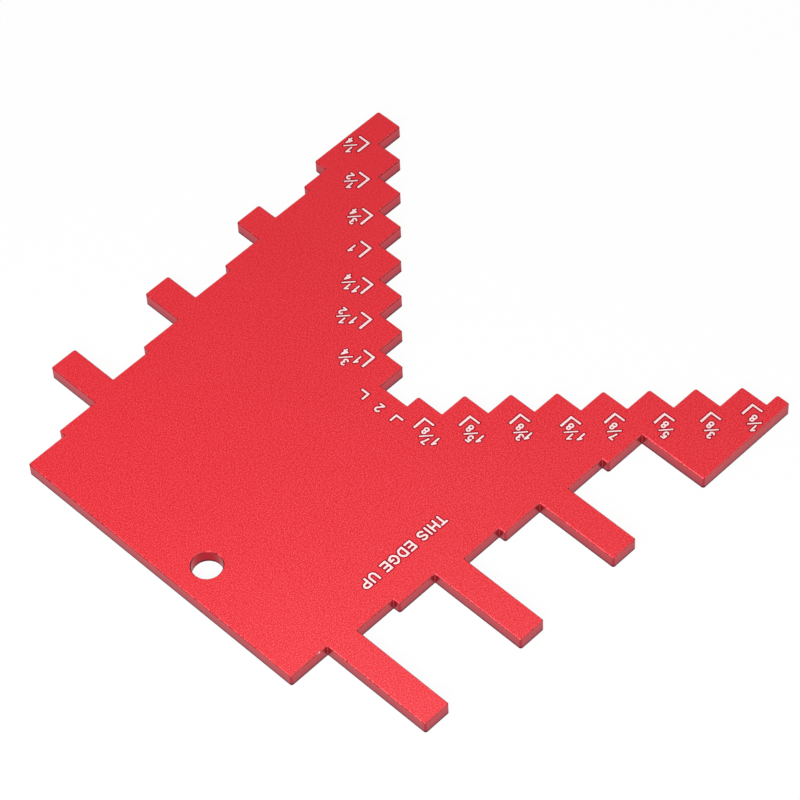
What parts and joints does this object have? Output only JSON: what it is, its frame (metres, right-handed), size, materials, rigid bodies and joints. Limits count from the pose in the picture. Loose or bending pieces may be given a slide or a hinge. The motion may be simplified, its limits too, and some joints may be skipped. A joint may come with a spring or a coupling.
{
  "type": "step gauge",
  "caption": "Flat stepped gauge for setting blade and cutter heights: a graduated stepped V between two feet, comb gaps of graded depth on both sides and a hanging hole.",
  "frame": {"origin": "centre of the plate's overall rectangle, on the back face that lies on the bench", "axes": "+Z out of the graduated face, through the thickness; +X from the left tab ends to the right tab ends; +Y from the straight edge to the two feet"},
  "size_m": [0.112, 0.1106, 0.0032],
  "materials": {
    "red_anodised": "fine bead-blasted, red anodised",
    "white_marking": "matt white print"
  },
  "bodies": {
    "root": {"gauge_plate": "red_anodised"}
  },
  "joints": []
}
